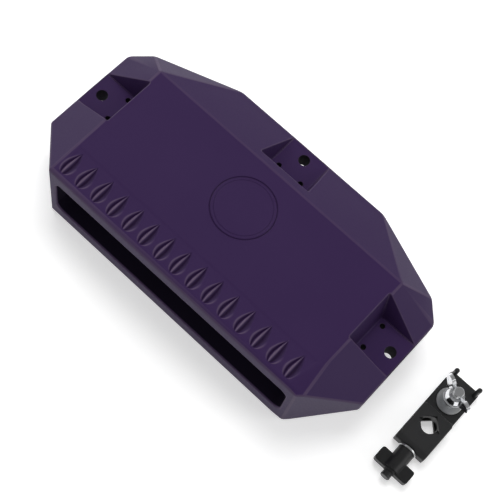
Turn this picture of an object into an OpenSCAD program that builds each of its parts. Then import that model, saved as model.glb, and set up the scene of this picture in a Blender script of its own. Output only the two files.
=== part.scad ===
// Woodblock of moulded plastic with its rod clamp.
// The origin is on the flat underside of the block, midway between its ends; the block's front is at -Y.
// The clamp lies on the floor beside the block's right end, with its knob towards the front.

/* [Block] */
// Overall length of the block, end to end
block_len = 240; // [200:1:280]
// Distance from the origin to the flat front face
front_reach = 62; // [55:0.5:75]
// Distance from the origin to the back edge
back_reach = 61.5; // [55:0.5:75]
// Overall height of the block
block_h = 55; // [50:0.5:65]
// Height of the upright rim half way up
rim_h = 13; // [10:0.5:16]
// Cut-back of each front corner, at 45 degrees
front_cut = 28.5; // [22:0.5:34]
// Run of each end's sloping facet, from the rim in to the top
end_slope_run = 28; // [26:0.5:31]
// Run of the back's sloping facet, from the rim in to the top
back_slope_run = 34.5; // [32:0.5:38]
// Radius in plan of the rim's two back end corners
rim_corner_r = 6; // [3:0.5:8]
// Distance from the front face to the bend in the top's right edge
right_bend_run = 27; // [22:0.5:30]
// How far that edge has come inwards at the front face
right_bend_in = 8; // [5:0.5:8.5]
// Tilt of the small facet beyond the bent edge, in degrees
right_bend_tilt = 12; // [6:1:18]

/* [Sound slot] */
// Thickness of the lip above the slot
upper_lip = 11.5; // [9:0.5:13]
// Thickness of the lip below the slot
lower_lip = 12; // [9:0.5:14]
// Wall between the chamber and the mounting pockets
chamber_wall = 8; // [6:0.5:10]
// Radius of the slot's corners
slot_corner_r = 5.5; // [3:0.5:8]

/* [Ridges] */
// Distance between neighbouring ridges
ridge_pitch = 11.85; // [10:0.05:14]
// Length of each ridge, front to back
ridge_len = 18; // [12:0.5:22]
// Width of each of a ridge's two grooves
groove_w = 4; // [2:0.1:4.5]
// Depth of the grooves
groove_depth = 1.3; // [0.5:0.1:2]
// Distance from the front face to the ridges
ridge_inset = 2; // [1.5:0.5:5]
// Sideways shift of the whole row of ridges
ridge_shift = -2.4; // [-4:0.1:4]

/* [Mounting pockets] */
// Width of an end pocket's floor
end_pocket_w = 25; // [24:0.5:30]
// Width of the back pocket's floor
back_pocket_w = 28; // [24:0.5:32]
// Depth of an end pocket, from the rim inwards
end_pocket_run = 25; // [24:0.5:26]
// Depth of the back pocket, from the rim inwards
back_pocket_run = 26.5; // [25:0.5:28]
// Widening of a pocket from its floor to the block's top, each side
pocket_draft = 5; // [3:0.5:7]
// Lean of a pocket's inner wall over the same height
wall_draft = 3; // [2:0.5:4]
// Distance from the rim's edge to the mounting hole's centre
hole_inset = 8; // [7:0.25:9]
// Distance from the mounting hole to the line of the two small holes
pin_gap = 13; // [12:0.25:14]
// Distance between the two small holes
pin_pitch = 17; // [15:0.5:17.5]

/* [Clamp bracket] */
// Width of the folded steel strip
strip_w = 21; // [20.5:0.1:23]
// Thickness of the strip
strip_t = 2.5; // [2:0.1:2.8]
// Inside radius of its two bends
bend_r = 1.5; // [1:0.1:2]
// Height of the folded clamp
clamp_h = 12; // [11.8:0.1:14]
// Length of the clamp's top
flange_len = 27; // [26:0.5:34]
// Side of the square rod hole, which has a corner towards the knob
rod_hole = 10; // [8:0.1:10.5]
// Distance from the clamp's front to the rod hole's centre
rod_inset = 17.5; // [17:0.25:18.5]
// Distance from the clamp's top to the mounting stud
stud_gap = 13; // [12.75:0.25:16]
// Strip that reaches beyond the locating pins
pin_margin = 2.7; // [2:0.1:3.5]

/* [Fasteners] */
// Thread diameter of the mounting stud and the eye bolt
thread_d = 6; // [5:0.1:6.2]
// Pitch of both threads
thread_pitch = 1; // [0.8:0.05:1.2]
// Diameter of the locating pins
pin_d = 3; // [2.5:0.1:3.5]
// Thickness of the flat washers
washer_t = 1.2; // [0.8:0.1:1.6]
// Outer diameter of the washer under the wing nut
nut_washer_d = 16; // [14:0.5:18]
// Outer diameter of the washer behind the knob
knob_washer_d = 11.8; // [10:0.1:11.8]
// Height of the wing nut's hub
hub_h = 5.5; // [4.5:0.1:7]
// Height of the wing nut's wings
wing_h = 12; // [10:0.5:14]
// Span of the wing nut
nut_span = 24; // [20:0.5:25]
// How far the wing nut is spun up from its washer
nut_raise = 7.5; // [6:0.25:8]
// Turn of the wing nut about its stud, in degrees
nut_turn = -23; // [-90:1:90]

/* [Eye bolt and knob] */
// Inside diameter of the eye
eye_bore = 10.6; // [9.6:0.1:11]
// Width of the eye's ring
eye_ring_w = 3.1; // [2.5:0.1:3.4]
// How far the eye's flat faces stand proud of the bolt's shank
eye_proud = 0.2; // [0.1:0.05:0.3]
// How far the loose eye stands off the rod hole's centre, away from the knob
eye_offset = 1.2; // [0.5:0.1:2]
// Length of the knob
knob_len = 16; // [14:0.5:20]
// Diameter of the knob's collar
collar_d = 10.6; // [10:0.1:11.4]
// Span of the knob's two wings
knob_span = 23; // [20:0.5:28]
// Length of the wings, along the knob
knob_wing_len = 9; // [7:0.5:11]
// Thickness of the wings
knob_wing_t = 5; // [4:0.1:6]
// Thread that shows beyond the knob
thread_show = 4; // [3:0.5:8]

/* [Place of the bracket] */
// Distance from the block's end to the mounting stud
bracket_apart = 35; // [30:0.5:60]
// Distance from the origin to the mounting stud, front to back
bracket_y = 14; // [0:0.5:30]

/* [Hidden] */
$fn = 48;

// One overrun serves every cut
over = 2;
// Clearances: stud in its hole, pin in its hole, thread in thread, washer on stud, seats within one assembly
stud_clear = 0.5;
pin_clear = 0.15;
thread_clear = 0.05;
washer_clear = 0.2;
shank_clear = 0.3;
seat_clear = 0.02;

// Block
half_len = block_len / 2;
rim_low = (block_h - rim_h) / 2;
rim_high = rim_low + rim_h;
top_half = half_len - end_slope_run;
top_back = back_reach - back_slope_run;
front_half = half_len - front_cut;
front_nick = 0.5;
back_corner_run = 11;
back_corner_drop = 20;
end_edge_drop = 31.5;
back_edge_run = 64.5;
right_bend_turn = atan2(right_bend_in, right_bend_run);
right_bend_len = right_bend_run / cos(right_bend_turn);
slot_half = half_len - end_pocket_run - chamber_wall;
slot_top = block_h - upper_lip;
chamber_back = back_reach - back_pocket_run - chamber_wall;
// The back mounting hole sits this much nearer its edge than the end holes do
back_hole_shift = 0.5;
stud_hole_d = thread_d + 2 * stud_clear;
pin_hole_d = pin_d + 2 * pin_clear;

// Ridges
crest_w = 0.3;
ridge_end_gap = 8.5;
ridge_count = floor(2 * (top_half - ridge_end_gap) / ridge_pitch) + 1;
ridge_mid_y = -front_reach + ridge_inset + ridge_len / 2;
wheel_r = (pow(ridge_len / 2, 2) + pow(groove_depth, 2)) / (2 * groove_depth);

// Bracket, whose own origin is on the floor under the mounting stud, with its knob at -Y
bracket_x = half_len + bracket_apart;
flange_back = -stud_gap;
clamp_front = flange_back - flange_len;
strip_back = pin_gap + pin_margin;
rod_y = clamp_front + rod_inset;
bolt_z = clamp_h / 2;
outer_bend_r = bend_r + strip_t;
stud_rise = rim_h + 2 * washer_t + hub_h;
stud_head_d = 9;
stud_head_t = 1;
thread_depth = 0.3;
// Share of the pitch at which a thread groove is deepest
thread_mid_share = 0.5;
pin_short = 1;
pin_rise = rim_h - pin_short;
pin_tip = 0.6;

// Wing nut
collar_t = washer_t;
collar_outer_d = 12.4;
hub_base_d = 11.4;
hub_top_d = 9.2;
nut_base_z = strip_t + washer_t + nut_raise + collar_t;
wing_t = 2.2;
wing_tip_r = 3.3;
wing_root_z = 0.8;
// Lean of a wing's long edges from the upright, in degrees
wing_lean = 50;

// Eye bolt and knob
eye_outer_d = eye_bore + 2 * eye_ring_w;
eye_t = thread_d + 2 * eye_proud;
eye_y = rod_y + eye_offset;
knob_front = clamp_front - washer_t;
knob_end = knob_front - knob_len;
insert_d = 8.2;
insert_share = 0.6;
insert_len = knob_len * insert_share;
knob_wing_r = 1.6;
knob_edge_r = 1.2;

// Plan of the block at its rim, without the two rounded corners
function rim_plan() = [
    [-front_half, -front_reach], [front_half, -front_reach],
    [half_len, -front_reach + front_cut],
    [half_len - back_corner_run, back_reach - back_corner_drop],
    [half_len - back_edge_run, back_reach],
    [-half_len + back_edge_run, back_reach],
    [-half_len + back_corner_run, back_reach - back_corner_drop],
    [-half_len, -front_reach + front_cut]
];

// Plan of the flat top and the flat underside
function top_plan() = [
    [-front_half, -front_reach], [front_half, -front_reach],
    [top_half, -front_reach + front_nick], [top_half, top_back],
    [-top_half, top_back], [-top_half, -front_reach + front_nick]
];

// The rim's rounded corner: the turn from the end's straight edge to the corner's slanting edge
corner_turn = atan2(back_corner_run, end_edge_drop - back_corner_drop);
corner_y = back_reach - end_edge_drop - rim_corner_r * tan(corner_turn / 2);

// Outside of the block: the rim slab and the taller core, joined by flat facets
module block_outside() {
    hull() {
        translate([0, 0, rim_low]) linear_extrude(rim_h) polygon(rim_plan());
        for (side = [-1, 1])
            translate([side * (half_len - rim_corner_r), corner_y, rim_low])
                cylinder(r = rim_corner_r, h = rim_h, $fn = 32);
        linear_extrude(block_h) polygon(top_plan());
    }
}

// Cutter for the small facet at the top's right front corner, which takes the last ridge's end inwards
module right_corner_cut() {
    translate([top_half - right_bend_in, -front_reach, block_h])
        rotate([0, 0, -right_bend_turn])
            rotate([0, right_bend_tilt, 0])
                translate([0, -right_bend_run, 0])
                    cube([right_bend_run, right_bend_len + right_bend_run, right_bend_run]);
}

// Rectangle with round corners, centred in x, standing on y = 0
module round_rect(w, h, r) {
    for (side = [-1, 1])
        for (y = [r, h - r])
            translate([side * (w / 2 - r), y]) circle(r);
    translate([-w / 2 + r, 0]) square([w - 2 * r, h]);
    translate([-w / 2, r]) square([w, h - 2 * r]);
}

// Slot through the front face, and the chamber behind it
module sound_chamber() {
    translate([0, chamber_back, lower_lip])
        rotate([90, 0, 0])
            linear_extrude(front_reach + chamber_back + over)
                round_rect(2 * slot_half, slot_top - lower_lip, slot_corner_r);
}

// Pocket that opens upwards and to +X, with its floor at z = 0 and its inner wall's foot at x = 0
module pocket_cut(floor_w, run) {
    rise = block_h - rim_high;
    high = rise + over;
    spread = pocket_draft * high / rise;
    lean = wall_draft * high / rise;
    intersection() {
        translate([-lean, 0, 0]) rotate([90, 0, 90]) linear_extrude(run + lean + over)
            polygon([
                [-floor_w / 2, 0], [floor_w / 2, 0],
                [floor_w / 2 + spread, high], [-floor_w / 2 - spread, high]
            ]);
        translate([0, floor_w / 2 + spread, 0]) rotate([90, 0, 0]) linear_extrude(floor_w + 2 * spread)
            polygon([[0, 0], [run + over, 0], [run + over, high], [-lean, high]]);
    }
}

// The pockets of one side of the block, above the rim
module upper_pockets() {
    for (turn = [0, 180])
        rotate([0, 0, turn])
            translate([half_len - end_pocket_run, 0, rim_high]) pocket_cut(end_pocket_w, end_pocket_run);
    translate([0, back_reach - back_pocket_run, rim_high])
        rotate([0, 0, 90]) pocket_cut(back_pocket_w, back_pocket_run);
}

// One mounting hole and its two small holes, through the rim, with the rim's edge towards +X
module hole_set() {
    translate([0, 0, rim_low - over]) {
        cylinder(d = stud_hole_d, h = rim_h + 2 * over);
        for (side = [-1, 1])
            translate([-pin_gap, side * pin_pitch / 2, 0]) cylinder(d = pin_hole_d, h = rim_h + 2 * over);
    }
}

// Two lens-shaped grooves that leave a sharp crest between them
module ridge_cut() {
    for (side = [-1, 1])
        translate([side * (groove_w + crest_w) / 2, ridge_mid_y, block_h + wheel_r - groove_depth])
            rotate([0, 90, 0])
                rotate_extrude($fn = 96)
                    polygon([
                        [0, -groove_w], [wheel_r - 2 * groove_depth, -groove_w], [wheel_r, 0],
                        [wheel_r - 2 * groove_depth, groove_w], [0, groove_w]
                    ]);
}

// The block: one hollow moulding, the same above and below its rim
module block_body() {
    color("#44355a")
        difference() {
            block_outside();
            right_corner_cut();
            translate([0, 0, block_h]) mirror([0, 0, 1]) right_corner_cut();
            sound_chamber();
            upper_pockets();
            translate([0, 0, block_h]) mirror([0, 0, 1]) upper_pockets();
            for (turn = [0, 180])
                rotate([0, 0, turn]) translate([half_len - hole_inset, 0, 0]) hole_set();
            translate([0, back_reach - hole_inset + back_hole_shift, 0]) rotate([0, 0, 90]) hole_set();
            for (i = [0 : ridge_count - 1])
                translate([ridge_shift + (i - (ridge_count - 1) / 2) * ridge_pitch, 0, 0]) ridge_cut();
        }
}

// Moves a piece of the bracket from its own origin to its place beside the block
module in_bracket() {
    translate([bracket_x, bracket_y, 0]) children();
}

// Side view of the folded strip, with y along the bracket and z upwards
module strip_profile() {
    bend_front = clamp_front + outer_bend_r;
    translate([bend_front, 0]) square([strip_back - bend_front, strip_t]);
    translate([bend_front, clamp_h - strip_t]) square([flange_back - bend_front, strip_t]);
    translate([clamp_front, outer_bend_r]) square([strip_t, clamp_h - 2 * outer_bend_r]);
    for (z = [outer_bend_r, clamp_h - outer_bend_r])
        intersection() {
            translate([bend_front, z])
                difference() {
                    circle(outer_bend_r);
                    circle(bend_r);
                }
            translate([clamp_front, z < bolt_z ? 0 : z]) square(outer_bend_r);
        }
}

// Steel strip folded into a clamp, with the plate that bolts to the block
module clamp_channel() {
    color("#2b2b2c")
        in_bracket() difference() {
            translate([-strip_w / 2, 0, 0]) rotate([90, 0, 90]) linear_extrude(strip_w) strip_profile();
            translate([0, rod_y, -over]) rotate([0, 0, 45])
                linear_extrude(clamp_h + 2 * over) square(rod_hole, center = true);
            translate([0, clamp_front + strip_t + over, bolt_z]) rotate([90, 0, 0])
                cylinder(d = thread_d + 2 * shank_clear, h = strip_t + 2 * over);
            translate([0, 0, -over]) cylinder(d = thread_d + 2 * seat_clear, h = strip_t + 2 * over);
            translate([0, 0, -over]) cylinder(d = stud_head_d + 2 * seat_clear, h = stud_head_t + over);
            for (side = [-1, 1])
                translate([side * pin_pitch / 2, pin_gap, -over])
                    cylinder(d = pin_d + 2 * seat_clear, h = strip_t + 2 * over);
        }
}

// Two round pins pressed into the plate
module locating_pins() {
    color("#202021")
        in_bracket() for (side = [-1, 1])
            translate([side * pin_pitch / 2, pin_gap, 0])
                rotate_extrude()
                    polygon([
                        [0, 0], [pin_d / 2, 0], [pin_d / 2, strip_t + pin_rise - pin_tip],
                        [pin_d / 2 - pin_tip, strip_t + pin_rise], [0, strip_t + pin_rise]
                    ]);
}

// Half section of a threaded rod, from y = 0 to its chamfered end, with the thread as plain grooves
module rod_section(d, plain, total) {
    turns = floor((total - plain) / thread_pitch) - 1;
    root = d / 2 - thread_depth;
    teeth = [
        for (i = [0 : turns - 1]) for (p = [
            [d / 2, plain + i * thread_pitch],
            [root, plain + (i + thread_mid_share) * thread_pitch]
        ]) p
    ];
    polygon(concat([[0, 0], [d / 2, 0]], teeth, [
        [d / 2, plain + turns * thread_pitch], [d / 2, total - thread_depth],
        [d / 2 - thread_depth, total], [0, total]
    ]));
}

// Stud with a flat head that sits flush in the underside of the plate
module mounting_stud() {
    color("#8d8f92")
        in_bracket() rotate_extrude() union() {
            square([stud_head_d / 2, stud_head_t]);
            rod_section(thread_d, strip_t + washer_t, strip_t + stud_rise);
        }
}

// Plain washer, standing on z = 0
module washer(outer_d, bore_d) {
    difference() {
        cylinder(d = outer_d, h = washer_t);
        translate([0, 0, -over]) cylinder(d = bore_d, h = washer_t + 2 * over);
    }
}

// Washer that lies on the plate, round the stud
module flat_washer() {
    color("#b9bbbd")
        in_bracket() translate([0, 0, strip_t]) washer(nut_washer_d, thread_d + 2 * washer_clear);
}

// Loose collar under the wing nut, which slides with it and doesn't turn
module nut_collar() {
    color("#c4c6c8")
        in_bracket() translate([0, 0, nut_base_z - collar_t])
            washer(collar_outer_d, thread_d + 2 * washer_clear);
}

// Outline of one wing, seen from the side, from the hub outwards
module wing_outline() {
    tip_x = nut_span / 2 - wing_tip_r;
    tip_z = wing_h - wing_tip_r;
    translate([tip_x, tip_z]) circle(wing_tip_r);
    polygon([
        [hub_top_d / 4, wing_root_z], [hub_base_d / 2, wing_root_z],
        [tip_x + wing_tip_r * sin(wing_lean), tip_z - wing_tip_r * cos(wing_lean)],
        [tip_x - wing_tip_r * sin(wing_lean), tip_z + wing_tip_r * cos(wing_lean)],
        [hub_top_d / 4, hub_h]
    ]);
}

// Cast wing nut
module wing_nut() {
    color("#d3d5d8")
        in_bracket() translate([0, 0, nut_base_z]) rotate([0, 0, nut_turn])
            difference() {
                union() {
                    cylinder(d = hub_base_d, h = wing_root_z);
                    rotate_extrude()
                        polygon([[0, 0], [hub_base_d / 2, 0], [hub_top_d / 2, hub_h], [0, hub_h]]);
                    for (turn = [0, 180])
                        rotate([0, 0, turn]) translate([0, wing_t / 2, 0]) rotate([90, 0, 0])
                            linear_extrude(wing_t) wing_outline();
                }
                translate([0, 0, -over]) cylinder(d = thread_d + 2 * thread_clear, h = wing_h + 2 * over);
            }
}

// Bolt with a flat eye that pulls the rod towards the knob
module eye_bolt() {
    shank_len = eye_y - knob_end + thread_show;
    plain_len = eye_y - clamp_front;
    color("#77797c")
        in_bracket() difference() {
            union() {
                translate([0, eye_y, bolt_z - eye_t / 2]) cylinder(d = eye_outer_d, h = eye_t);
                translate([0, eye_y, bolt_z]) rotate([90, 0, 0])
                    rotate_extrude() rod_section(thread_d, plain_len, shank_len);
            }
            translate([0, eye_y, -over]) cylinder(d = eye_bore, h = clamp_h + 2 * over);
        }
}

// Washer between the clamp and the knob
module knob_washer() {
    color("#e4e5e6")
        in_bracket() translate([0, clamp_front, bolt_z]) rotate([90, 0, 0])
            washer(knob_washer_d, thread_d + 2 * washer_clear);
}

// Moulded knob with two flat wings
module wing_knob() {
    color("#1d1e20")
        in_bracket() translate([0, knob_front, bolt_z]) rotate([90, 0, 0])
            difference() {
                union() {
                    cylinder(d = collar_d, h = knob_len - knob_edge_r);
                    cylinder(d = collar_d - 2 * knob_edge_r, h = knob_len);
                    translate([0, knob_wing_t / 2, knob_len - knob_wing_len]) rotate([90, 0, 0])
                        linear_extrude(knob_wing_t) round_rect(knob_span, knob_wing_len, knob_wing_r);
                }
                translate([0, 0, -over]) cylinder(d = insert_d + 2 * seat_clear, h = insert_len + over);
                translate([0, 0, -over]) cylinder(d = thread_d + 2 * shank_clear, h = knob_len + 2 * over);
            }
}

// Threaded bush moulded into the knob
module knob_insert() {
    color("#b48a3c")
        in_bracket() translate([0, knob_front, bolt_z]) rotate([90, 0, 0])
            difference() {
                cylinder(d = insert_d, h = insert_len);
                translate([0, 0, -over]) cylinder(d = thread_d + 2 * thread_clear, h = insert_len + 2 * over);
            }
}

block_body();
clamp_channel();
locating_pins();
mounting_stud();
flat_washer();
nut_collar();
wing_nut();
eye_bolt();
knob_washer();
wing_knob();
knob_insert();
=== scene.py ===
from math import copysign, cos, pi, radians, sin, sqrt

import bmesh
import bpy
from mathutils import Matrix, Vector


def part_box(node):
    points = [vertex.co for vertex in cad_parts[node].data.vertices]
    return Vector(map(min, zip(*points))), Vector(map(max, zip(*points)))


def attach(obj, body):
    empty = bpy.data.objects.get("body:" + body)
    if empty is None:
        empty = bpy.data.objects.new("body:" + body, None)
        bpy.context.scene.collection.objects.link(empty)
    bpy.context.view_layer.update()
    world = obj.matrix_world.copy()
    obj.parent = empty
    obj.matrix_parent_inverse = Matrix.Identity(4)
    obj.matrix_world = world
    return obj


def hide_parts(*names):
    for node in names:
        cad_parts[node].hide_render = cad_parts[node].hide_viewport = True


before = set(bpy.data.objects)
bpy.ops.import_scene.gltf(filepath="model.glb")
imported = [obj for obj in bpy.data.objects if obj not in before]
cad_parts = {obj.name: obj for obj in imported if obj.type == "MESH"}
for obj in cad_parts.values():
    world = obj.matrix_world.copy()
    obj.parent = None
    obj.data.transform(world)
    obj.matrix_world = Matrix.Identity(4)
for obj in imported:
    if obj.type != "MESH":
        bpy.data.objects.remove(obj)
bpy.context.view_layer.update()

MM = 0.001

# The camera stands high in front of the block's right half, as in the photograph.
# Its place and turn come from marks on the block: corners, hole centres and slot corners.
LENS = 86.91
SENSOR_WIDTH = 36
CAMERA_PLACE = Vector((128.27, -247.69, 663.55)) * MM
CAMERA_RIGHT = Vector((0.7347, 0.667719, 0.119866))
CAMERA_DOWN = Vector((0.657892, -0.658181, -0.366027))
CAMERA_AHEAD = Vector((-0.16551, 0.347779, -0.922852))
VIEW_DEPTH = 20
lens_data = bpy.data.cameras.new("studio_camera")
lens_data.sensor_width = SENSOR_WIDTH
lens_data.lens = LENS
lens_data.clip_end = VIEW_DEPTH
camera = bpy.data.objects.new("studio_camera", lens_data)
bpy.context.scene.collection.objects.link(camera)
turn = Matrix((CAMERA_RIGHT, -CAMERA_DOWN, -CAMERA_AHEAD)).transposed()
camera.matrix_world = Matrix.Translation(CAMERA_PLACE) @ turn.to_4x4()
bpy.context.scene.camera = camera

# The block is one hollow moulding of coloured plastic, with soft edges from its tool.
# Its outside comes first: the CAD solid's flat faces without any opening, with rounded edges.
# The openings are cut into it after that, so that their own edges stay clean.
EDGE_ROUND = 1.2 * MM
# Corners of the CAD solid that lie closer together than this count as one
CORNER_SPREAD = 0.75 * MM
FLAT_ANGLE = radians(0.4)
SHARP_ANGLE = radians(13)
# A rounding has two segments and one more for each of these widths, up to the most
SEGMENT_WIDTH = 0.28 * MM
MOST_SEGMENTS = 4
# A distance this small counts as none
HAIR = 1e-6
block_low, block_high = (Vector(corner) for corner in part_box("block_body"))
BLOCK_TOP = block_high.z


def merged_copy(node_name):
    """The CAD node's solid as a bmesh with its doubles merged."""
    bm = bmesh.new()
    bm.from_mesh(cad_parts[node_name].data)
    bmesh.ops.remove_doubles(bm, verts=bm.verts, dist=HAIR)
    return bm


def whole_faces(bm):
    """Joins the triangles of each flat face into one face."""
    bmesh.ops.dissolve_limit(bm, angle_limit=FLAT_ANGLE, verts=bm.verts, edges=bm.edges)
    bm.normal_update()


def bevelled(bm, edges, width, segments, clamp=False, slide=False):
    """Rounds the given edges, and returns what that made."""
    return bmesh.ops.bevel(
        bm, geom=edges, offset=width, offset_type="OFFSET", segments=segments, profile=0.5,
        affect="EDGES", material=-1, clamp_overlap=clamp, loop_slide=slide,
    )


def round_edges(bm, width, chosen=lambda edge: True, clamp=True):
    """Rounds the sharp edges that chosen(edge) picks, with more segments for a wider rounding."""
    sharp = [e for e in bm.edges if len(e.link_faces) == 2 and e.calc_face_angle(0) > SHARP_ANGLE]
    segments = min(MOST_SEGMENTS, 2 + int(width / SEGMENT_WIDTH))
    bevelled(bm, [e for e in sharp if chosen(e)], width, segments, clamp=clamp, slide=clamp)
    bm.normal_update()


def outer_shape():
    """The block's outside without its openings: its convex hull with flat faces and round edges."""
    bm = merged_copy("block_body")
    bmesh.ops.remove_doubles(bm, verts=bm.verts, dist=CORNER_SPREAD)
    hull = bmesh.ops.convex_hull(bm, input=bm.verts)
    skin = {item for item in hull["geom"] if isinstance(item, bmesh.types.BMFace)}
    bmesh.ops.delete(bm, geom=[f for f in bm.faces if f not in skin], context="FACES")
    bmesh.ops.delete(bm, geom=[v for v in bm.verts if not v.link_faces], context="VERTS")
    whole_faces(bm)
    round_edges(bm, EDGE_ROUND)
    return bm


# The cores of the mould leave the chamber behind the slot, the six pockets and the nine holes.
# The chamber's core flares at the slot and a hole's core at its upper end, for soft edges there.
# One more core, a long bar, leaves the wide rounding between the top and the front.
SLOT_HALF = 87 * MM
SLOT_LOW = 12 * MM
SLOT_HIGH = 43.5 * MM
SLOT_CORNER = 5.5 * MM
SLOT_CORNER_STEPS = 8
CHAMBER_BACK = 27 * MM
MOUTH_ROUND = 1.2 * MM
MOUTH_STEPS = 4
LIP_ROUND = 3 * MM
LIP_STEPS = 8
# How far a core reaches past the plastic
PASS = 2 * MM
RIM_LOW = 21 * MM
RIM_HIGH = 34 * MM
POCKET_DRAFT = 5 * MM
POCKET_FILLET = 0.9 * MM
FILLET_STEPS = 3
# A pocket's width at its floor, its run inwards from the rim's edge, and the lean of its back wall
END_POCKET = (25 * MM, 25 * MM, 4.4 * MM)
BACK_POCKET = (28 * MM, 26.5 * MM, 3 * MM)
STUD_HOLE_R = 3.5 * MM
PIN_HOLE_R = 1.65 * MM
PIN_GAP = 13 * MM
PIN_HALF_PITCH = 8.5 * MM
END_HOLE_INSET = 8 * MM
BACK_HOLE_INSET = 7.5 * MM
HOLE_FLARE = 0.25 * MM
FLARE_BEND = 0.3
HOLE_SIDES = 48


def chamber_core():
    """A long box with round edges, flared at the slot."""
    bm = bmesh.new()
    size = Matrix.Diagonal((2 * SLOT_HALF, CHAMBER_BACK - block_low.y, SLOT_HIGH - SLOT_LOW, 1))
    centre = Vector((0, (CHAMBER_BACK + block_low.y) / 2, (SLOT_HIGH + SLOT_LOW) / 2))
    bmesh.ops.create_cube(bm, size=1, matrix=Matrix.Translation(centre) @ size)
    long_edges = [e for e in bm.edges if abs(e.verts[0].co.y - e.verts[1].co.y) > HAIR]
    bevelled(bm, long_edges, SLOT_CORNER, SLOT_CORNER_STEPS)
    mouth = min(bm.faces, key=lambda f: f.calc_center_median().y)
    bmesh.ops.translate(bm, verts=mouth.verts, vec=(0, MOUTH_ROUND, 0))
    for step in range(MOUTH_STEPS):
        before, after = (pi / 2 * k / MOUTH_STEPS for k in (step, step + 1))
        wider, higher = (
            (half + MOUTH_ROUND * (1 - cos(after))) / (half + MOUTH_ROUND * (1 - cos(before)))
            for half in (SLOT_HALF, (SLOT_HIGH - SLOT_LOW) / 2)
        )
        forward = MOUTH_ROUND * (sin(after) - sin(before))
        bmesh.ops.inset_region(bm, faces=[mouth], thickness=0)
        bmesh.ops.scale(bm, verts=mouth.verts, vec=(wider, 1, higher), space=Matrix.Translation(-centre))
        bmesh.ops.translate(bm, verts=mouth.verts, vec=(0, -forward, 0))
    bmesh.ops.inset_region(bm, faces=[mouth], thickness=0)
    bmesh.ops.translate(bm, verts=mouth.verts, vec=(0, -PASS, 0))
    return bm


def lip_core():
    """A long bar with a hollow edge, along the edge between the top and the front."""
    bm = bmesh.new()
    bend = Vector((-block_high.x - PASS, block_low.y + LIP_ROUND, BLOCK_TOP - LIP_ROUND))
    turns = [pi / 2 * step / LIP_STEPS for step in range(LIP_STEPS + 1)]
    places = [bend + LIP_ROUND * Vector((0, -sin(turned), cos(turned))) for turned in turns]
    places.append(Vector((bend.x, block_low.y - PASS, bend.z)))
    places.append(Vector((bend.x, block_low.y - PASS, BLOCK_TOP + PASS)))
    places.append(Vector((bend.x, bend.y, BLOCK_TOP + PASS)))
    end = bm.faces.new([bm.verts.new(place) for place in places])
    made = bmesh.ops.extrude_face_region(bm, geom=[end])["geom"]
    far_end = [item for item in made if isinstance(item, bmesh.types.BMVert)]
    bmesh.ops.translate(bm, verts=far_end, vec=(-2 * bend.x, 0, 0))
    return bm


def pocket_core(bm, floor_width, run, wall_lean, place):
    """Adds a wedge that leaves one pocket, opening upwards and to its own +X."""
    rise = BLOCK_TOP - RIM_HIGH
    share = (rise + PASS) / rise
    made = bmesh.ops.create_cube(bm, size=1)["verts"]
    for v in made:
        up = v.co.z > 0
        out = v.co.x > 0
        v.co.x = run + PASS if out else (-wall_lean * share if up else 0)
        v.co.y = copysign(floor_width / 2 + (POCKET_DRAFT * share if up else 0), v.co.y)
        v.co.z = rise + PASS if up else 0
    floor_and_wall = [
        e for e in bm.edges if e.verts[0] in made
        and min(v.co.z for v in e.verts) < HAIR and min(v.co.x for v in e.verts) < run
    ]
    rounded = bevelled(bm, floor_and_wall, POCKET_FILLET, FILLET_STEPS)
    verts = {v for f in rounded["faces"] for v in f.verts} | {v for v in made if v.is_valid}
    bmesh.ops.transform(bm, matrix=place, verts=list(verts))


def hole_core(bm, radius, foot):
    """Adds a pin that leaves one hole through the rim, flared at its upper end."""
    line = (
        (0, RIM_LOW - PASS),
        (radius, RIM_LOW - PASS),
        (radius, RIM_HIGH - HOLE_FLARE),
        (radius + HOLE_FLARE * FLARE_BEND, RIM_HIGH - HOLE_FLARE * FLARE_BEND),
        (radius + HOLE_FLARE, RIM_HIGH),
        (radius + HOLE_FLARE + PASS, RIM_HIGH + PASS),
        (0, RIM_HIGH + PASS),
    )
    verts = [bm.verts.new(foot + Vector((reach, 0, z))) for reach, z in line]
    edges = [bm.edges.new(pair) for pair in zip(verts, verts[1:])]
    bmesh.ops.spin(
        bm, geom=verts + edges, cent=foot, axis=(0, 0, 1), dvec=(0, 0, 0),
        angle=2 * pi, steps=HOLE_SIDES, use_merge=True, use_duplicate=False,
    )
    bmesh.ops.remove_doubles(bm, verts=bm.verts, dist=HAIR)


pocket_cores = bmesh.new()
hole_cores = bmesh.new()
hole_axes = []
upside_down = Matrix.Translation((0, 0, BLOCK_TOP)) @ Matrix.Scale(-1, 4, (0, 0, 1))
for turned, reach, inset, (floor_width, run, wall_lean) in (
    (0, block_high.x, END_HOLE_INSET, END_POCKET),
    (pi, block_high.x, END_HOLE_INSET, END_POCKET),
    (pi / 2, block_high.y, BACK_HOLE_INSET, BACK_POCKET),
):
    side = Matrix.Rotation(turned, 4, "Z")
    foot = side @ Matrix.Translation((reach - run, 0, RIM_HIGH))
    pocket_core(pocket_cores, floor_width, run, wall_lean, foot)
    pocket_core(pocket_cores, floor_width, run, wall_lean, upside_down @ foot)
    for radius, back, across in (
        (STUD_HOLE_R, 0, 0),
        (PIN_HOLE_R, PIN_GAP, PIN_HALF_PITCH),
        (PIN_HOLE_R, PIN_GAP, -PIN_HALF_PITCH),
    ):
        axis = side @ Vector((reach - inset - back, across, 0))
        hole_core(hole_cores, radius, axis)
        hole_axes.append((axis.xy, radius))


def object_of(bm, name):
    """Puts a bmesh into the scene as a plain object."""
    bmesh.ops.recalc_face_normals(bm, faces=bm.faces)
    mesh = bpy.data.meshes.new(name)
    bm.to_mesh(mesh)
    bm.free()
    made = bpy.data.objects.new(name, mesh)
    bpy.context.scene.collection.objects.link(made)
    return made


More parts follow.
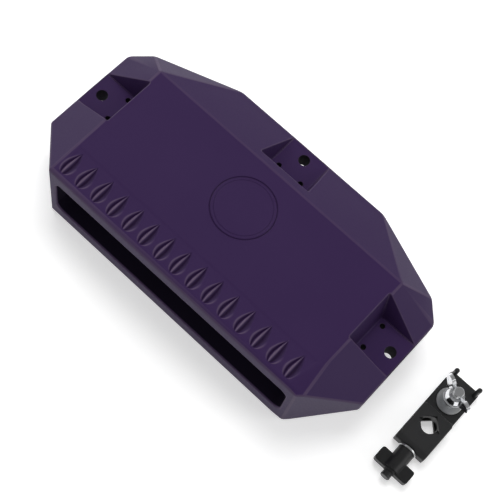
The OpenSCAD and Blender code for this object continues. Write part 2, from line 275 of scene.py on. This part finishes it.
def moulded(blank, cores):
    """Cuts the cores out of the blank, one after another, and gives the result as a bmesh."""
    body = object_of(blank, "blank")
    tools = [object_of(core, "core") for core in cores]
    for tool in tools:
        cut = body.modifiers.new("cut", "BOOLEAN")
        cut.operation = "DIFFERENCE"
        cut.solver = "EXACT"
        cut.object = tool
    bpy.context.view_layer.update()
    mesh = bpy.data.meshes.new_from_object(body.evaluated_get(bpy.context.evaluated_depsgraph_get()))
    bm = bmesh.new()
    bm.from_mesh(mesh)
    for spare in [body] + tools:
        bpy.data.objects.remove(spare)
    bpy.data.meshes.remove(mesh)
    bmesh.ops.remove_doubles(bm, verts=bm.verts, dist=HAIR)
    bmesh.ops.delete(bm, geom=[e for e in bm.edges if not e.link_faces], context="EDGES")
    bm.normal_update()
    return bm


block = moulded(outer_shape(), [lip_core(), chamber_core(), pocket_cores, hole_cores])

# The rims of the pockets are sharp after the cutting, so they get a small rounding of their own.
# The walls of the chamber and of the holes keep the edges that their cores gave them.
RIM_ANGLE = radians(40)
RIM_ROUND = 0.6 * MM
RIM_STEPS = 3
HOLE_MARGIN = 1 * MM


def inside(place):
    """True for a place on the walls of the chamber or of a hole."""
    in_hole = any((place.xy - axis).length < radius + HAIR for axis, radius in hole_axes)
    within = abs(place.x) < SLOT_HALF + HAIR and SLOT_LOW - HAIR < place.z < SLOT_HIGH + HAIR
    return in_hole or (within and block_low.y + MOUTH_ROUND < place.y < CHAMBER_BACK + HAIR)


def by_a_hole(place):
    """True for a place close round a hole."""
    return any((place.xy - axis).length < radius + HOLE_MARGIN for axis, radius in hole_axes)


def pocket_rim(edge):
    """True for a sharp outward edge that is clear of the chamber and the holes."""
    if len(edge.link_faces) != 2 or not edge.is_convex or edge.calc_face_angle(0) <= RIM_ANGLE:
        return False
    beside = [f.calc_center_median() for f in edge.link_faces]
    ends = [v.co for v in edge.verts]
    return not any(by_a_hole(place) for place in ends) and not any(inside(place) for place in ends + beside)


bevelled(block, [e for e in block.edges if pocket_rim(e)], RIM_ROUND, RIM_STEPS, slide=True)
# A few corners of the roundings swell by hundredths of a millimetre, past the block's height
for v in block.verts:
    v.co.z = min(max(v.co.z, block_low.z), block_high.z)
bmesh.ops.remove_doubles(block, verts=block.verts, dist=HAIR)
block.normal_update()

# The rounded edges are painted paler as a highlight, and more where the bend is sharper.
# The mesh keeps this painted highlight as its tone, which is above 0 for paler plastic and below 0 for
# darker.
HIGHLIGHT_PER_RADIAN = 4.0
HIGHLIGHT_START = radians(4)
HIGHLIGHT_MOST = 0.4
# The faces of a rounding are all narrower than this
ROUNDING_FACE_WIDTH = 1 * MM
tone = block.verts.layers.float.new("tone")
for v in block.verts:
    if all(2 * f.calc_area() / f.calc_perimeter() < ROUNDING_FACE_WIDTH for f in v.link_faces):
        bend = max(e.calc_face_angle_signed(0) for e in v.link_edges)
        v[tone] = min(HIGHLIGHT_MOST, max(0, HIGHLIGHT_PER_RADIAN * (bend - HIGHLIGHT_START)))

# The top carries a row of ridges for scraping, each a round crest between two hollows.
# The left hollow is narrow, the right one rises gently, and both end in a point at the back.
# The strip between the ridges lies a little below the top, so the crests don't stand above it.
RIDGE_COUNT = 15
RIDGE_PITCH = 11.85 * MM
RIDGE_SHIFT = -2.4 * MM
RIDGE_HALF = 4.3 * MM
RIDGE_LEN = 16.8 * MM
RIDGE_FRONT = -58.6 * MM
WIDEST_SHARE = 0.36
POINT_CURVE = 1.6
STRIP_DROP = 0.2 * MM
STRIP_EASE = 2.2 * MM
# Across a ridge: places as shares of its half width, and heights above the strip
RIDGE_SECTION = (
    (-1.16, 0), (-0.92, 0.2 * MM), (-0.56, -1.1 * MM), (-0.16, 0.2 * MM), (0.26, -1.2 * MM), (1.05, 0),
)
# The same with the tone: 1 where the plastic is painted pale as a highlight, with some wear on the crest,
# -1 down in a hollow as painted shade
TONE_SECTION = (
    (-1.16, 0), (-0.92, 0.65), (-0.56, -0.9), (-0.16, 1.15), (0.24, -1.0), (0.60, -0.5), (1.05, 0),
)
TONE_FADE = 0.3
# Round its front end the crest's painted highlight turns back along the right hollow
HOOK_SECTION = ((0.55, 0), (0.9, 1.1), (1.2, 0))
HOOK_SHARE = 0.5
BAND_GRID = 0.33 * MM
BAND_LEFT = -90.2 * MM
BAND_RIGHT = 87.5 * MM
BAND_FRONT = -58.8 * MM
BAND_BACK = -39 * MM
# Beside the last ridges the top's right edge bends inwards, towards the front
TOP_RIGHT = 92 * MM
BEND_START = -35 * MM
BEND_RUN = 27 * MM
BEND_IN = 8 * MM
BEND_MARGIN = 1.5 * MM


def bend_edge(y):
    """Right end of the strip with the ridges at a place y, a margin inside the top's edge."""
    return TOP_RIGHT - BEND_IN * max(0, BEND_START - y) / BEND_RUN - BEND_MARGIN


def eased(share):
    """A smooth step from 0 to 1."""
    return (1 - cos(pi * min(1, max(0, share)))) / 2


def ridge_width(along):
    """Width of a ridge as a share of its greatest, from its round front (0) to its pointed back (1)."""
    if not 0 < along < 1:
        return 0
    if along < WIDEST_SHARE:
        return sqrt(1 - (1 - along / WIDEST_SHARE) ** 2)
    return 1 - ((along - WIDEST_SHARE) / (1 - WIDEST_SHARE)) ** POINT_CURVE


def along_section(section, across):
    """The value of a section at one place across it, with smooth steps between its points."""
    for (x0, value0), (x1, value1) in zip(section, section[1:]):
        if x0 <= across <= x1:
            return value0 + (value1 - value0) * eased((across - x0) / (x1 - x0))
    return 0


def ridge_at(x, y):
    """Depth below the top at one place of the strip, and the tone there."""
    to_edge = min(x - BAND_LEFT, bend_edge(y) - x, y - BAND_FRONT, BAND_BACK - y)
    strip = STRIP_DROP * eased(to_edge / STRIP_EASE)
    last = RIDGE_COUNT // 2
    number = min(last, max(-last, round((x - RIDGE_SHIFT) / RIDGE_PITCH)))
    width = ridge_width((y - RIDGE_FRONT) / RIDGE_LEN)
    if not width:
        return strip, 0
    across = (x - RIDGE_SHIFT - number * RIDGE_PITCH) / (RIDGE_HALF * width)
    hook = max(0, 1 - (y - RIDGE_FRONT) / (RIDGE_LEN * HOOK_SHARE))
    tone_here = along_section(TONE_SECTION, across) + hook * along_section(HOOK_SECTION, across)
    edge_share = eased(to_edge / (STRIP_EASE / 2))
    height = along_section(RIDGE_SECTION, across) * sqrt(width) * edge_share
    return max(0, strip - height), tone_here * width ** TONE_FADE * edge_share


def ridge_band(bm, tone):
    """Adds the fine strip of the top that holds the ridges, and returns its outer edges."""
    columns = round((BAND_RIGHT - BAND_LEFT) / BAND_GRID)
    rows = round((BAND_BACK - BAND_FRONT) / BAND_GRID)
    size = Matrix.Diagonal((BAND_RIGHT - BAND_LEFT, BAND_BACK - BAND_FRONT, 1, 1))
    middle = Matrix.Translation(((BAND_LEFT + BAND_RIGHT) / 2, (BAND_FRONT + BAND_BACK) / 2, BLOCK_TOP))
    made = bmesh.ops.create_grid(bm, x_segments=columns, y_segments=rows, size=0.5, matrix=middle @ size)
    for v in made["verts"]:
        reach = min(BAND_RIGHT, bend_edge(v.co.y)) - BAND_LEFT
        v.co.x = BAND_LEFT + (v.co.x - BAND_LEFT) * reach / (BAND_RIGHT - BAND_LEFT)
    fresh = set(made["verts"])
    outer = [e for e in bm.edges if e.is_boundary and e.verts[0] in fresh]
    border = {v for e in outer for v in e.verts}
    for v in made["verts"]:
        if v not in border:
            depth, v[tone] = ridge_at(v.co.x, v.co.y)
            v.co.z = BLOCK_TOP - depth
    return outer


# A plain round mark lies in the middle of the top: two shallow rings and a bare field.
# It is moulded with the block, and its rings are painted darker the deeper they lie, as shade.
MARK_CENTRE = Vector((-0.3, -2.3, 0)) * MM
# Radius, width and depth of each ring
MARK_RINGS = ((19.0 * MM, 1.2 * MM, 0.42 * MM), (16.9 * MM, 0.8 * MM, 0.2 * MM))
MARK_REACH = 20.5 * MM
MARK_FIELD = 14.9 * MM
MARK_STEP = 0.15 * MM
MARK_SIDES = 96
MARK_DEEPEST = 0.5 * MM
MARK_SHADE_PER_DEPTH = 1.5 / MM


def ring_depth(r):
    """Depth of the mark at a distance from its centre."""
    return sum(
        depth * cos(pi * (r - middle) / width) ** 2
        for middle, width, depth in MARK_RINGS if abs(r - middle) < width / 2
    )


def round_mark(bm, tone):
    """Adds the disc of the top that holds the round mark, and returns its outer edges."""
    steps = round(MARK_REACH / MARK_STEP)
    spread = [MARK_REACH * step / steps for step in range(1, steps + 1)]
    radii = [0] + [r for r in spread if r > MARK_FIELD]
    line = [bm.verts.new(MARK_CENTRE + Vector((r, 0, BLOCK_TOP - ring_depth(r)))) for r in radii]
    edges = [bm.edges.new(pair) for pair in zip(line, line[1:])]
    bmesh.ops.spin(
        bm, geom=line + edges, cent=MARK_CENTRE, axis=(0, 0, 1), dvec=(0, 0, 0),
        angle=2 * pi, steps=MARK_SIDES, use_merge=True, use_duplicate=False,
    )
    disc = [
        v for v in bm.verts
        if (v.co.xy - MARK_CENTRE.xy).length < MARK_REACH + HAIR and BLOCK_TOP - v.co.z < MARK_DEEPEST
    ]
    bmesh.ops.remove_doubles(bm, verts=disc, dist=HAIR)
    rim = set()
    for v in disc:
        if v.is_valid:
            # The rings are painted darker with their depth, as shade
            v[tone] = (v.co.z - BLOCK_TOP) * MARK_SHADE_PER_DEPTH
            if (v.co.xy - MARK_CENTRE.xy).length > MARK_REACH - MARK_STEP / 2:
                rim.add(v)
    return [e for e in bm.edges if e.is_boundary and e.verts[0] in rim and e.verts[1] in rim]


# The top's one large face makes room for the strip with the ridges and for the mark.
# Triangles then close the top between these two and its own outline.
top_face = max((f for f in block.faces if f.normal.z > cos(FLAT_ANGLE)), key=lambda f: f.calc_area())
open_edges = list(top_face.edges)
bmesh.ops.delete(block, geom=[top_face], context="FACES_ONLY")
open_edges += ridge_band(block, tone)
open_edges += round_mark(block, tone)
bmesh.ops.triangle_fill(block, edges=open_edges, use_beauty=True, use_dissolve=False, normal=(0, 0, 1))
block.normal_update()

# The plastic has a fine grain from the tool, and its colour drifts a little over the block.
# It is painted paler along its rounded edges and crests as a highlight, with some wear on the crests, and
# painted darker down in the hollows as shade.
# The chamber and the holes are painted darker than the outside, as shade, and are duller.
PLASTIC = (0.0295, 0.0122, 0.060, 1)
PLASTIC_LIGHT = (0.0345, 0.0155, 0.067, 1)
HIGHLIGHT_AND_WEAR = (0.115, 0.080, 0.135, 1)
HOLLOW_SHADE = (0.010, 0.0015, 0.021, 1)
CHAMBER_SHADE_DARK = (0.011, 0.007, 0.018, 1)
CHAMBER_SHADE_LIGHT = (0.016, 0.011, 0.026, 1)
DRIFTS_PER_METRE = 22
GRAIN_DEPTH = 0.1 * MM
SMOOTH_ANGLE = radians(38)


def add_node(tree, kind, values):
    """Adds a shader node with values for some of its inputs."""
    node = tree.nodes.new("ShaderNode" + kind)
    for label, value in values.items():
        node.inputs[label].default_value = value
    return node


def colour_mix(tree, values):
    """Adds a node that mixes two colours."""
    node = tree.nodes.new("ShaderNodeMix")
    node.data_type = "RGBA"
    for label, value in values.items():
        node.inputs[label].default_value = value
    return node


def grained_material(
    name, dark, light, rough, bump, grain_size, metallic=0.0, rough_spread=0.08, specular=0.5,
):
    """A surface with fine grain, slow colour drift and a little uneven gloss."""
    material = bpy.data.materials.new(name)
    material.use_nodes = True
    tree = material.node_tree
    shader = tree.nodes["Principled BSDF"]
    shader.inputs["Metallic"].default_value = metallic
    shader.inputs["Specular IOR Level"].default_value = specular
    place = add_node(tree, "TexCoord", {})
    drift = add_node(tree, "TexNoise", {"Scale": DRIFTS_PER_METRE, "Detail": 3})
    grain = add_node(tree, "TexNoise", {"Scale": 1 / grain_size, "Detail": 4})
    tint = colour_mix(tree, {"A": dark, "B": light})
    gloss = add_node(tree, "MapRange", {"To Min": rough - rough_spread, "To Max": rough + rough_spread})
    relief = add_node(tree, "Bump", {"Strength": bump, "Distance": GRAIN_DEPTH})
    links = tree.links
    links.new(place.outputs["Object"], drift.inputs["Vector"])
    links.new(place.outputs["Object"], grain.inputs["Vector"])
    links.new(drift.outputs["Fac"], tint.inputs["Factor"])
    links.new(tint.outputs["Result"], shader.inputs["Base Color"])
    links.new(grain.outputs["Fac"], gloss.inputs["Value"])
    links.new(gloss.outputs["Result"], shader.inputs["Roughness"])
    links.new(grain.outputs["Fac"], relief.inputs["Height"])
    links.new(relief.outputs["Normal"], shader.inputs["Normal"])
    return material


def toned(material, pale, dark):
    """Mixes a paler and a darker colour into a material where the mesh's tone asks for it."""
    tree = material.node_tree
    colour = tree.nodes["Principled BSDF"].inputs["Base Color"]
    tone_here = add_node(tree, "Attribute", {})
    tone_here.attribute_name = "tone"
    for tint, full in ((pale, 1), (dark, -1)):
        share = add_node(tree, "MapRange", {"From Min": 0, "From Max": full})
        blend = colour_mix(tree, {"B": tint})
        tree.links.new(tone_here.outputs["Fac"], share.inputs["Value"])
        tree.links.new(share.outputs["Result"], blend.inputs["Factor"])
        tree.links.new(colour.links[0].from_socket, blend.inputs["A"])
        tree.links.new(blend.outputs["Result"], colour)


def finished(bm, name, body, nodes, materials):
    """Turns a bmesh into a piece that stands for CAD nodes and rides on their body."""
    mesh = bpy.data.meshes.new(name)
    bmesh.ops.recalc_face_normals(bm, faces=bm.faces)
    bm.to_mesh(mesh)
    bm.free()
    for face in mesh.polygons:
        face.use_smooth = True
    mesh.set_sharp_from_angle(angle=SMOOTH_ANGLE)
    for material in materials:
        mesh.materials.append(material)
    piece = bpy.data.objects.new(name, mesh)
    bpy.context.scene.collection.objects.link(piece)
    weighted = piece.modifiers.new("even_shading", "WEIGHTED_NORMAL")
    weighted.keep_sharp = True
    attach(piece, body)
    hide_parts(*nodes)


block_plastic = grained_material(
    "block_plastic", PLASTIC, PLASTIC_LIGHT, rough=0.54, bump=0.12, grain_size=1.2 * MM, specular=0.18,
)
# The tone's painted highlight and painted shade are mixed into the plastic's colour
toned(block_plastic, HIGHLIGHT_AND_WEAR, HOLLOW_SHADE)
chamber_painted_shade = grained_material(
    "chamber_painted_shade", CHAMBER_SHADE_DARK, CHAMBER_SHADE_LIGHT, rough=0.7, bump=0.1, grain_size=1.5 * MM, specular=0.1,
)
# The walls of the chamber and of the holes take the darker material, a painted shade
for face in block.faces:
    face.material_index = 1 if inside(face.calc_center_median()) else 0
finished(block, "sound_block", "block", ["block_body"], [block_plastic, chamber_painted_shade])

# The clamp is one steel strip folded over at its front, and powder coated after that.
# Its lower leg runs on as the plate that is bolted to the block.
# Its corners are rounded, and the outline of its upper leg is softer than its other edges.
STRIP_THICK = 2.5 * MM
SIDE_MARGIN = 2.2 * MM
SQUARE_CORNER = radians(80)
CORNER_ROUND = 2 * MM
CORNER_STEPS = 6
OUTLINE_ROUND = 0.7 * MM
STRIP_ROUND = 0.3 * MM
SLACK = 0.1 * MM
strip_low, strip_high = (Vector(corner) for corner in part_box("clamp_channel"))
black_coat = grained_material(
    "black_coat", (0.016, 0.016, 0.017, 1), (0.024, 0.024, 0.025, 1),
    rough=0.42, bump=0.35, grain_size=0.7 * MM, specular=0.35,
)


def stands(edge):
    """True for an edge that runs straight through the strip."""
    rise = edge.verts[1].co - edge.verts[0].co
    return rise.xy.length < HAIR and abs(abs(rise.z) - STRIP_THICK) < SLACK


def folded_over(edge):
    """True for an edge of the outline of the strip's upper leg or its front bend."""
    above = max(v.co.z for v in edge.verts) > strip_low.z + STRIP_THICK + SLACK
    at_side = any(abs(v.co.x - x) < SIDE_MARGIN for v in edge.verts for x in (strip_low.x, strip_high.x))
    at_end = abs(edge.verts[0].co.y - edge.verts[1].co.y) < HAIR and edge.is_convex
    return above and (at_side or at_end) and not stands(edge)


strip = merged_copy("clamp_channel")
whole_faces(strip)
corners = [e for e in strip.edges if stands(e) and e.is_convex and e.calc_face_angle(0) > SQUARE_CORNER]
bevelled(strip, corners, CORNER_ROUND, CORNER_STEPS)
round_edges(strip, OUTLINE_ROUND, folded_over, clamp=False)
round_edges(strip, STRIP_ROUND, lambda edge: not folded_over(edge) and not stands(edge))
finished(strip, "folded_clamp", "bracket", ["clamp_channel"], [black_coat])


def plain_piece(node_name, name, body, material, edge_round):
    """Makes a piece that is a CAD node with all its sharp edges rounded."""
    bm = merged_copy(node_name)
    whole_faces(bm)
    round_edges(bm, edge_round)
    finished(bm, name, body, [node_name], [material])


# Two round steel pins are pressed into the plate, and coated with it.
# They fit a pocket's two small holes and keep the clamp from turning.
plain_piece("locating_pins", "plate_pins", "bracket", black_coat, edge_round=0.4 * MM)

# The stud is zinc plated steel with a rolled thread, clinched into the plate from below.
# It goes through a pocket's large hole, and its thread keeps its sharp edges.
zinc = grained_material(
    "zinc_plate", (0.62, 0.63, 0.64, 1), (0.72, 0.73, 0.74, 1),
    rough=0.3, bump=0.1, grain_size=0.5 * MM, metallic=1.0,
)
stud = merged_copy("mounting_stud")
whole_faces(stud)
finished(stud, "clinched_stud", "bracket", ["mounting_stud"], [zinc])

# A flat zinc plated washer lies loose on the plate, round the stud.
# The wing nut presses on it through its collar.
plain_piece("flat_washer", "plate_washer", "bracket", zinc, edge_round=0.25 * MM)

# A second washer, of the same plated steel, lies between the clamp and the knob.
# It shows as a bright ring in front of the strip.
plain_piece("knob_washer", "bright_washer", "bracket", zinc, edge_round=0.25 * MM)

# The eye bolt is forged steel, blackened, with a rolled thread. It slides in the clamp.
# Its eye lies between the two legs and pulls the rod against them.
EYE_FRONT = -16 * MM
EYE_ROUND = 0.5 * MM
black_oxide = grained_material(
    "black_oxide", (0.035, 0.035, 0.037, 1), (0.060, 0.060, 0.062, 1),
    rough=0.36, bump=0.15, grain_size=0.5 * MM, metallic=0.7,
)
eye = merged_copy("eye_bolt")
whole_faces(eye)
round_edges(eye, EYE_ROUND, lambda edge: max(v.co.y for v in edge.verts) > EYE_FRONT)
finished(eye, "eye_and_shank", "eye", ["eye_bolt"], [black_oxide])

# A loose collar, polished and chromed like the nut, lies between the washer and the nut.
# It goes up and down with the nut but doesn't turn with it.
chrome = grained_material(
    "polished_chrome", (0.84, 0.85, 0.87, 1), (0.90, 0.91, 0.93, 1),
    rough=0.1, bump=0.04, grain_size=2 * MM, metallic=1.0, rough_spread=0.03,
)
plain_piece("nut_collar", "loose_collar", "nut_slider", chrome, edge_round=0.25 * MM)

# The wing nut is cast, polished and chromed, and runs on the stud's thread.
# Its wings lean outwards from a low hub, and each has a shallow recess on both sides.
NUT_ROUND = 0.45 * MM
UPRIGHT = 0.05
RECESS_RIM = 0.7 * MM
RECESS_DEPTH = 0.4 * MM
RECESS_LEAST = 30 * MM * MM
nut = merged_copy("wing_nut")
whole_faces(nut)
round_edges(nut, NUT_ROUND)
for wing_side in [f for f in nut.faces if abs(f.normal.z) < UPRIGHT and f.calc_area() > RECESS_LEAST]:
    for thickness, depth in ((RECESS_RIM, 0), (RECESS_DEPTH, -RECESS_DEPTH)):
        bmesh.ops.inset_region(
            nut, faces=[wing_side], thickness=thickness, depth=depth, use_even_offset=True,
        )
finished(nut, "cast_wing_nut", "nut", ["wing_nut"], [chrome])

# The knob is moulded of black nylon, with a round hub and two flat wings for the fingers.
# It screws onto the eye bolt and pulls it forwards.
nylon = grained_material(
    "black_nylon", (0.009, 0.009, 0.0095, 1), (0.014, 0.014, 0.015, 1),
    rough=0.44, bump=0.3, grain_size=0.9 * MM, specular=0.35,
)
plain_piece("wing_knob", "winged_knob", "knob", nylon, edge_round=0.7 * MM)

# A turned brass bush is moulded into the knob and turns with it.
# It carries the knob's thread.
brass = grained_material(
    "turned_brass", (0.52, 0.32, 0.10, 1), (0.62, 0.40, 0.14, 1),
    rough=0.3, bump=0.1, grain_size=0.6 * MM, metallic=1.0,
)
plain_piece("knob_insert", "brass_bush", "knob", brass, edge_round=0.2 * MM)

# The floor is a plain pale sheet that keeps the object's shadow.
# It looks white to the eye and in reflections, and doesn't throw more light on the object.
FLOOR_HALF = 3
FLOOR_TONE = (0.8, 0.8, 0.8, 1)
FLOOR_LIFT = 0.475
WHITE = (1, 1, 1, 1)
floor_mesh = bpy.data.meshes.new("studio_floor")
floor_bm = bmesh.new()
bmesh.ops.create_grid(floor_bm, x_segments=1, y_segments=1, size=FLOOR_HALF)
floor_bm.to_mesh(floor_mesh)
floor_bm.free()
floor = bpy.data.objects.new("studio_floor", floor_mesh)
bpy.context.scene.collection.objects.link(floor)
floor_material = bpy.data.materials.new("pale_floor")
floor_material.use_nodes = True
floor_tree = floor_material.node_tree
floor_shader = floor_tree.nodes["Principled BSDF"]
floor_shader.inputs["Base Color"].default_value = FLOOR_TONE
floor_shader.inputs["Roughness"].default_value = 0.9
floor_shader.inputs["Specular IOR Level"].default_value = 0.1
floor_shader.inputs["Emission Color"].default_value = WHITE
seen = add_node(floor_tree, "LightPath", {})
either = add_node(floor_tree, "Math", {})
either.operation = "MAXIMUM"
lift = add_node(floor_tree, "Math", {1: FLOOR_LIFT})
lift.operation = "MULTIPLY"
floor_tree.links.new(seen.outputs["Is Camera Ray"], either.inputs[0])
floor_tree.links.new(seen.outputs["Is Glossy Ray"], either.inputs[1])
floor_tree.links.new(either.outputs["Value"], lift.inputs[0])
floor_tree.links.new(lift.outputs["Value"], floor_shader.inputs["Emission Strength"])
floor_mesh.materials.append(floor_material)

# The studio's pale walls light the object from all sides, and its ceiling is darker.
# Their light is strongest at the horizon and falls evenly up to where the ceiling starts.
HORIZON_LIGHT = 0.55
CEILING_LIGHT = 0.25
CEILING_START = 0.75
world = bpy.data.worlds.new("studio_world")
bpy.context.scene.world = world
world.use_nodes = True
sky_tree = world.node_tree
backdrop = sky_tree.nodes["Background"]
backdrop.inputs["Color"].default_value = WHITE
direction = add_node(sky_tree, "TexCoord", {})
parts = add_node(sky_tree, "SeparateXYZ", {})
fall = add_node(sky_tree, "MapRange", {
    "From Min": 0, "From Max": CEILING_START, "To Min": HORIZON_LIGHT, "To Max": CEILING_LIGHT,
})
sky_tree.links.new(direction.outputs["Generated"], parts.inputs["Vector"])
sky_tree.links.new(parts.outputs["Z"], fall.inputs["Value"])
sky_tree.links.new(fall.outputs["Result"], backdrop.inputs["Strength"])

# A wide soft lamp hangs over the block's back and throws the shadow forwards.
# Three weaker ones stand left, right and in front, and the two at the sides show as gleams.
LAMP_AIM = Vector((0.02, 0, 0.02))
for lamp_name, place, size, power, gleams in (
    ("back_softbox", (-0.18, 0.32, 1.20), 0.55, 7.4, False),
    ("left_softbox", (-1.05, 0.38, 0.62), 0.6, 3.4, True),
    ("right_softbox", (1.05, 0.50, 0.62), 0.7, 3.2, True),
    ("front_softbox", (-0.15, -1.1, 0.60), 0.7, 1.3, False),
):
    lamp_data = bpy.data.lights.new(lamp_name, "AREA")
    lamp_data.size = size
    lamp_data.energy = power
    lamp = bpy.data.objects.new(lamp_name, lamp_data)
    bpy.context.scene.collection.objects.link(lamp)
    beam = LAMP_AIM - Vector(place)
    lamp.matrix_world = Matrix.Translation(place) @ beam.to_track_quat("-Z", "Y").to_matrix().to_4x4()
    lamp.visible_glossy = gleams
bpy.context.scene.view_settings.view_transform = "Standard"
